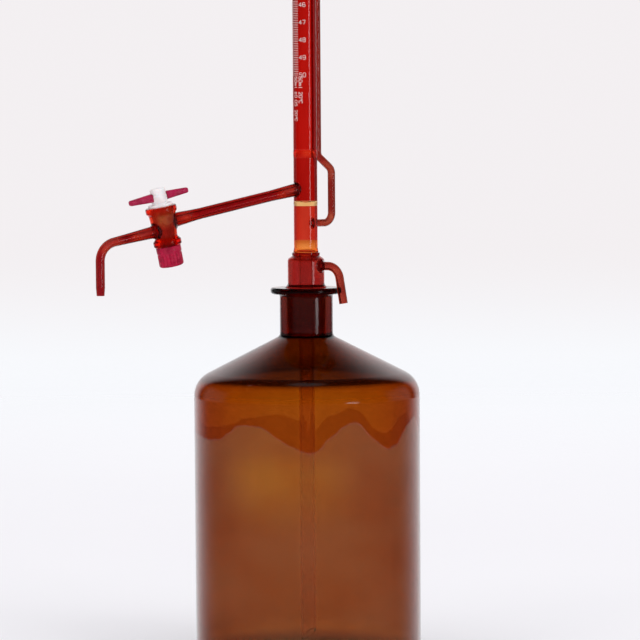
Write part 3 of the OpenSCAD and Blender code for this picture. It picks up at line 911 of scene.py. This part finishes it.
def make_outlet(material):
    port = TAP_AT - TAP_AXIS * 2
    slope = ARM_SLOPE
    bend, jet = 11.0, 2.6
    spout_x = spout_low.x + jet
    run = (port.x - spout_x - bend * (1 - math.sin(slope))) / math.cos(slope)
    drop = port.z - spout_low.z - run * math.sin(slope) - bend * math.cos(slope)
    points, ways = route(port, -TAP_INLET, -TAP_AXIS, [
        (9, 0), (4, 0), (4, 0), (4, 0), (run - 21, 0),
        (bend, 90 - math.degrees(slope)), (drop - 5, 0), (5, 0)])
    start = Landing(TAP_AT, TAP_AXIS, plug_r(-2) + 1.55, 1.4)
    total = run + bend * (QUARTER - slope) + drop
    widths = [(0, 3.75, 1.3), (10, 3.45, 1.3), (30, jet + 0.05, 1.3),
              (total - 4, jet, 1.3), (total, jet - 0.35, 1.1)]
    verts, faces = glass_tube(points, ways, jet, 1.3, start=start, segments=48, widths=widths)
    burette_glass("outlet_glass", verts, faces, material, "outlet_jet")


def make_plug(material):
    """White plug: the tapered core, its collar, the hub and the threaded tail."""
    half = BARREL_HALF
    tail = [(3.45, -half - 0.3)]
    pitch = 1.5
    z = -half - 3.5
    while z > -21.5:
        tail += [(3.45, z), (3.05, z - pitch * 0.3), (3.05, z - pitch * 0.6), (3.45, z - pitch * 0.9)]
        z -= pitch
    profile = rounded([
        (0, 22), (4.5, 22, 0.9), (4.5, 18.2, 0.3), (4.75, 17.8, 0.3), (4.75, 14.4, 0.3), (4.5, 14, 0.3),
        (4.5, half + 1.5, 1.0), (7.1, half + 1.5, 0.5), (7.1, half + 0.05, 0.2),
        (plug_r(half), half + 0.05), (plug_r(-half), -half - 0.05)], closed=False)
    profile += tail + [(3.45, -22.0), (2.9, -22.6), (0, -22.6)]
    verts, faces = lathe(profile, 72)
    new_piece("tap_plug", verts, faces, material, "key", ["stopcock_plug"], place=TAP)


def make_grip(material, name, node, turn):
    """A tapered wing with rounded edges, thicker in a rib along its middle."""
    root, tip = 4.4, 19.3
    stations, around = 22, 28
    verts, faces = [], []
    for i in range(stations + 1):
        f = i / stations
        s = root + (tip - root) * f
        end = max(0.0, (s - (tip - 1.6)) / 1.6)
        close = math.sqrt(max(0.0, 1 - end ** 2)) if i < stations else 0.02
        half_h = (2.50 - 0.98 * f) * close
        half_w = (2.35 - 0.62 * f) * close
        dish = 1 - 0.16 * math.sin(math.pi * min(1, f * 1.15)) ** 2
        for k in range(around):
            a = 2 * math.pi * k / around
            c, q = math.cos(a), math.sin(a)
            power = 0.55
            y = half_w * dish * math.copysign(abs(c) ** power, c)
            z = half_h * math.copysign(abs(q) ** power, q)
            verts.append((s, y, z + 17.2))
    for i in range(stations):
        faces += band(i * around, (i + 1) * around, around)
    faces.append(tuple(reversed(range(around))))
    faces.append(tuple(stations * around + k for k in range(around)))
    place = TAP @ Matrix.Rotation(turn, 4, "Z")
    new_piece(name, verts, faces, material, "key", [node], place=place)


def make_washer(material):
    half = BARREL_HALF
    profile = rounded([
        (3.55, -half - 1.1, 0.1), (5.7, -half - 1.1, 0.25),
        (5.7, -half - 0.05, 0.25), (3.55, -half - 0.05, 0.1)])
    verts, faces = lathe(profile, 64)
    new_piece("tap_washer", verts, faces, material, "key", ["thrust_washer"], place=TAP)


def make_nut(material):
    """Pink nut: a plain top band, recessed for the washer, and a ribbed skirt with a chamfered end."""
    top = -BARREL_HALF - 0.15
    seat = -BARREL_HALF - 1.15
    bottom = seat - 10.9
    ribs_z = seat - 3.6
    ribs, per_rib = 20, 10
    segments = ribs * per_rib
    rows = [(5.95, top - 0.15, 0), (6.1, top, 0), (6.85, top, 0), (7.15, top - 0.12, 0), (7.25, top - 0.4, 0),
            (7.25, seat - 2.2, 0), (7.2, seat - 2.6, 0), (7.02, seat - 2.9, 0),
            (6.98, ribs_z, 0.2), (7.1, ribs_z - 0.5, 1), (7.1, bottom + 1.3, 1),
            (6.95, bottom + 0.7, 0.8), (6.3, bottom + 0.12, 0.3), (5.9, bottom, 0),
            (3.9, bottom, 0), (3.6, bottom + 0.3, 0), (3.55, bottom + 1, 0), (3.55, seat, 0), (5.95, seat, 0)]
    verts, faces = [], []
    for r, z, depth in rows:
        for k in range(segments):
            a = 2 * math.pi * k / segments
            wave = math.cos(2 * math.pi * k / per_rib)
            groove = max(0.0, -wave) ** 0.8
            rr = r - 0.62 * depth * groove
            verts.append((rr * math.cos(a), rr * math.sin(a), z))
    for i in range(len(rows)):
        faces += band(i * segments, (i + 1) % len(rows) * segments, segments)
    new_piece("tap_nut", verts, faces, material, "nut", ["retaining_nut"],
              place=TAP, sharp=50)


# ---------------------------------------- scale and figures

GLYPHS = {
    "0": [[(0, 1), (0, 5), (1, 6), (3, 6), (4, 5), (4, 1), (3, 0), (1, 0), (0, 1)]],
    "1": [[(0.8, 4.8), (2.2, 6), (2.2, 0)]],
    "2": [[(0, 5), (1, 6), (3, 6), (4, 5), (4, 4), (0, 0), (4, 0)]],
    "3": [[(0, 6), (4, 6), (1.8, 3.6), (3, 3.6), (4, 2.7), (4, 1), (3, 0), (1, 0), (0, 1)]],
    "4": [[(3, 0), (3, 6), (0, 1.8), (4.2, 1.8)]],
    "5": [[(3.8, 6), (0.5, 6), (0.2, 3.2), (1.2, 3.8), (3, 3.8), (4, 2.8), (4, 1), (3, 0), (1, 0), (0, 0.9)]],
    "6": [[(3.6, 5.4), (3, 6), (1, 6), (0, 5), (0, 1), (1, 0), (3, 0), (4, 1), (4, 2.5), (3, 3.5),
           (1, 3.5), (0, 2.6)]],
    "7": [[(0, 6), (4, 6), (1.6, 0)]],
    "8": [[(1, 3.2), (0, 4.1), (0, 5.1), (1, 6), (3, 6), (4, 5.1), (4, 4.1), (3, 3.2), (1, 3.2),
           (0, 2.3), (0, 0.9), (1, 0), (3, 0), (4, 0.9), (4, 2.3), (3, 3.2)]],
    "9": [[(0.4, 0.6), (1, 0), (3, 0), (4, 1), (4, 5), (3, 6), (1, 6), (0, 5), (0, 3.5), (1, 2.5),
           (3, 2.5), (4, 3.4)]],
    "m": [[(0, 0), (0, 4)], [(0, 3), (1, 4), (2, 3.2), (2, 0)], [(2, 3), (3, 4), (4, 3.2), (4, 0)]],
    "l": [[(1.4, 6), (1.4, 0.6), (2.2, 0)]],
    "o": [[(1, 3.6), (0.4, 4.4), (0.4, 5.2), (1, 6), (2, 6), (2.6, 5.2), (2.6, 4.4), (2, 3.6), (1, 3.6)]],
    "C": [[(4, 5), (3, 6), (1, 6), (0, 5), (0, 1), (1, 0), (3, 0), (4, 1)]],
    "+": [[(0, 3.6), (4, 3.6)], [(2, 1.8), (2, 5.4)], [(0, 0.6), (4, 0.6)]],
    ".": [[(1.6, 0), (2.0, 0.1)]],
    " ": [],
}


def ribbon(line, width, lift, verts, faces):
    """A thin raised stroke on the tube along a line of (distance round, height) points."""
    fine = []
    for a, b in zip(line, line[1:]):
        steps = max(1, math.ceil(abs(b[0] - a[0]) / 0.5))
        fine += [(a[0] + (b[0] - a[0]) * i / steps, a[1] + (b[1] - a[1]) * i / steps) for i in range(steps)]
    fine.append(line[-1])
    base = len(verts)
    for i, (s, z) in enumerate(fine):
        before = fine[max(i - 1, 0)]
        after = fine[min(i + 1, len(fine) - 1)]
        way = Vector((after[0] - before[0], after[1] - before[1])).normalized()
        across = Vector((-way.y, way.x)) * width / 2
        for side, out in ((1, lift), (-1, lift), (-1, -0.02), (1, -0.02)):
            a = (s + across.x * side) / TUBE_R
            r = TUBE_R + out
            verts.append((r * math.cos(a), r * math.sin(a), z + across.y * side))
    last = base + 4 * (len(fine) - 1)
    for a in range(base, last, 4):
        faces += band(a, a + 4, 4)
    faces += [(base + 3, base + 2, base + 1, base), (last, last + 1, last + 2, last + 3)]


def write(text, height, place, verts, faces, stroke=0.3):
    """place turns a point of the text's own plane into (distance round, height)."""
    cell = height / 6
    x = 0.0
    for char in text:
        for line in GLYPHS[char]:
            ribbon([place((x + px * cell, py * cell)) for px, py in line], stroke, 0.05, verts, faces)
        x += (3.4 if char in "l.o" else 5.6) * cell


def make_scale(material):
    right_end = math.radians(-150) * TUBE_R
    verts, faces = [], []
    per_ml = (ZERO_Z - LAST_MARK_Z) / 50
    for i in range(501):
        z = ZERO_Z - per_ml * i / 10
        length = 19.0 if i % 10 == 0 else 12.0 if i % 5 == 0 else 7.5
        ribbon([(right_end - length, z), (right_end, z)], 0.24, 0.04, verts, faces)
    new_piece("scale_marks", verts, faces, material, "burette")
    verts, faces = [], []
    for ml in range(0, 51):
        z = ZERO_Z - per_ml * ml
        write(str(ml), 2.4, lambda p, z=z: (right_end + 0.7 + p[0], z - 1.2 + p[1]), verts, faces)
    new_piece("scale_figures", verts, faces, material, "burette")


def make_inscription(material):
    """Generic rotated lines below the scale: capacity, temperature and tolerance."""
    verts, faces = [], []
    columns = ((-166, "50ml +0.05 20oC", 1.55), (-139, "50ml 20oC", 1.6))
    for degrees, text, tall in columns:
        s0 = math.radians(degrees) * TUBE_R
        write(text, tall + 0.5, lambda p, s0=s0: (s0 + p[1] - 1, 345.5 - p[0]), verts, faces, 0.32)
    new_piece("inscription", verts, faces, material, "burette")


# ---------------------------------------- everything

make_camera()
make_world()
make_floor()
make_lamp("key_softbox", (0.35, -1.5, 1.3), (0, 0, 0.3), (0.9, 0.9), 7)
make_lamp("fill_softbox", (-1.6, -0.6, 0.8), (0, 0, 0.25), (0.7, 1.1), 3)
make_lamp("back_softbox", (1.0, 1.6, 1.4), (0, 0, 0.3), (1.2, 1.2), 5)

arm_root = TAP_AT + TAP_INLET * 12
outlet_root = TAP_AT - TAP_INLET * 14
elbow = TAP_AT - TAP_INLET * 34 - Vector((0, 0, 4))
inlet_turn = math.radians(-66)
inlet_root = Vector((CHAMBER_R * math.cos(inlet_turn), CHAMBER_R * math.sin(inlet_turn), 235))
arm_end = TAP_AT - TAP_INLET * (TAP_AT.x + TUBE_R + 4) / TAP_INLET.x
loop_foot = FEED_OUT * 17 + Vector((0, 0, loop_low.z + 3))
loop_top = FEED_OUT * 19 + Vector((0, 0, loop_high.z - 11))
bottle_amber = glass("bottle_amber", (0.48, 0.088, 0.0018), 5.2, ripple=0.012, coat=(0.84, 0.885, 1.0),
                     stain=(0.765, 0.76, 0.84), zones=bottle_zones)
stained = glass("stained_amber", (0.58, 0.010, 0.006), 2.8)
stained_tap = glass("stained_tap_section", (0.50, 0.009, 0.006), 2.8)
stained_foot = glass("stained_column", (0.72, 0.050, 0.024), 2.8)
stained_thin = glass("stained_thin", (0.60, 0.15, 0.08), 2.2, ripple=0.03, coat=(0.70, 0.38, 0.48),
                     stain=(0.62, 0.32, 0.36), zones=joint_zones([loop_foot, loop_top], 7))
stained_inlet = glass("stained_inlet", (0.72, 0.20, 0.10), 2.2, ripple=0.03, coat=(0.76, 0.44, 0.50),
                      stain=(0.55, 0.30, 0.34), zones=joint_zones([(16, -27, 229)], 6))
arm_zones = joint_zones([arm_root, outlet_root, elbow, arm_end], 8, (1.0, 0.66, 0.55), 0.1)
stained_arm = glass("stained_arm", (0.70, 0.13, 0.07), 3.4, ripple=0.02, coat=(0.64, 0.18, 0.30),
                    stain=(0.54, 0.16, 0.26), zones=arm_zones)
# painted highlight: a pale, rougher spot on the front of the barrel
barrel_stain_and_painted_highlight = glass("barrel_stain_and_painted_highlight", (0.95, 0.26, 0.09), 3.1, ripple=0.03, coat=(0.96, 0.32, 0.42),
                       stain=(0.70, 0.24, 0.28), zones=joint_zones([TAP_AT + TAP_AXIS * 5 - TAP_SIDE * 7], 6))
chamber_red = glass("chamber_red", (0.70, 0.13, 0.06), 3.0, coat=(0.76, 0.42, 0.60), stain=(0.66, 0.34, 0.52),
                    zones=joint_zones([inlet_root], 5, (0.95, 0.72, 0.62)))
dip_glass = glass("dip_tube_glass", (0.97, 0.78, 0.62), 2.6)
plain_amber = glass("plain_amber", (0.996, 0.80, 0.52), 6.0)
fused_amber = glass("fused_amber", (0.97, 0.30, 0.060), 2.9, zones=fused_zones)
seam_amber = glass("seam_amber", (0.94, 0.20, 0.075), 3.2, coat=(0.80, 0.30, 0.36), stain=(0.74, 0.26, 0.32),
                   zones=seam_zones)
ground = glass("ground_amber", (0.38, 0.03, 0.012), 3.4, frost=0.12)
ptfe = plastic("white_ptfe", (0.86, 0.83, 0.84), (0.74, 0.70, 0.70), 0.38, 0.25)
pink = plastic("pink_polymer", (0.40, 0.008, 0.062), (0.27, 0.004, 0.036), 0.30, 0.10, speck=0.15)
nut_pink = plastic("pink_nut", (0.47, 0.007, 0.048), (0.26, 0.003, 0.026), 0.27, 0.08, speck=0.15)
seal = plastic("seal_rubber", (0.03, 0.03, 0.03), (0.05, 0.05, 0.05), 0.6, 0.0)
white = enamel()

make_bottle(bottle_amber)
make_cone(ground)
make_chamber(chamber_red)
make_inlet(stained_inlet)
make_dip(dip_glass)
make_column(stained_foot, fused_amber)
make_tube_floor(plain_amber)
make_tube(stained_tap, seam_amber, stained)
make_feed(stained_thin)
make_bridges(stained)
make_head(stained)
make_siphon(stained_thin)
make_stopper(stained)
make_arm(stained_arm)
make_barrel(barrel_stain_and_painted_highlight)
make_outlet(stained_arm)
make_plug(ptfe)
make_grip(pink, "handle_grip_inner", "grip_inner", 0.0)
make_grip(pink, "handle_grip_outer", "grip_outer", math.pi)
make_washer(ptfe)
make_nut(nut_pink)
make_scale(white)
make_inscription(white)

ring = frame["nodes"]["o_ring"]
ring.data.materials.clear()
ring.data.materials.append(seal)
ring.data.shade_smooth()

scene = bpy.context.scene
scene.view_settings.view_transform = "Standard"
scene.view_settings.look = "None"
scene.cycles.max_bounces = 32
scene.cycles.transmission_bounces = 32
scene.cycles.glossy_bounces = 12
scene.cycles.transparent_max_bounces = 32
scene.cycles.caustics_refractive = True
scene.cycles.caustics_reflective = False
scene.cycles.sample_clamp_indirect = 4.0
